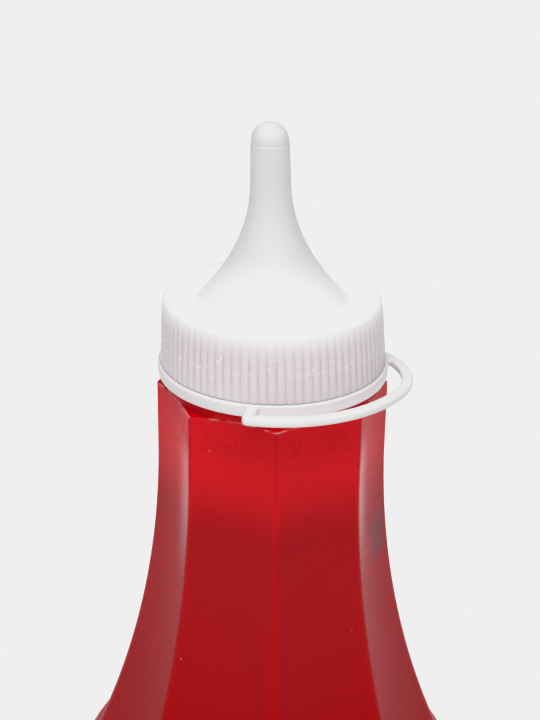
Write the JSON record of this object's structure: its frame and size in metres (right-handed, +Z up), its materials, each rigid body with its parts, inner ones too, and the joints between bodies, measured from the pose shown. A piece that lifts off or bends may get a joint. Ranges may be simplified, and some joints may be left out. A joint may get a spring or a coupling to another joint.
{
  "type": "ketchup bottle",
  "caption": "Upright squeeze bottle of ketchup: round body, eight-sided flaring neck, white ribbed screw cap with a trumpet nozzle and a strap on its ring.",
  "frame": {"origin": "middle of the base, on the surface that the bottle stands on", "axes": "+Z up along the bottle's axis to the nozzle's tip, -Y towards the ridge of the neck that faces the front, +X towards the side where the strap bows out"},
  "size_m": [0.077, 0.077, 0.2219],
  "materials": {
    "red_plastic": "translucent red blown polyethylene, satin gloss",
    "ketchup": "wet red tomato sauce",
    "white_plastic": "white moulded polyethylene, satin"
  },
  "bodies": {
    "root": {"bottle": "red_plastic", "ketchup": "ketchup", "cap": "white_plastic", "ring": "white_plastic"}
  },
  "joints": []
}
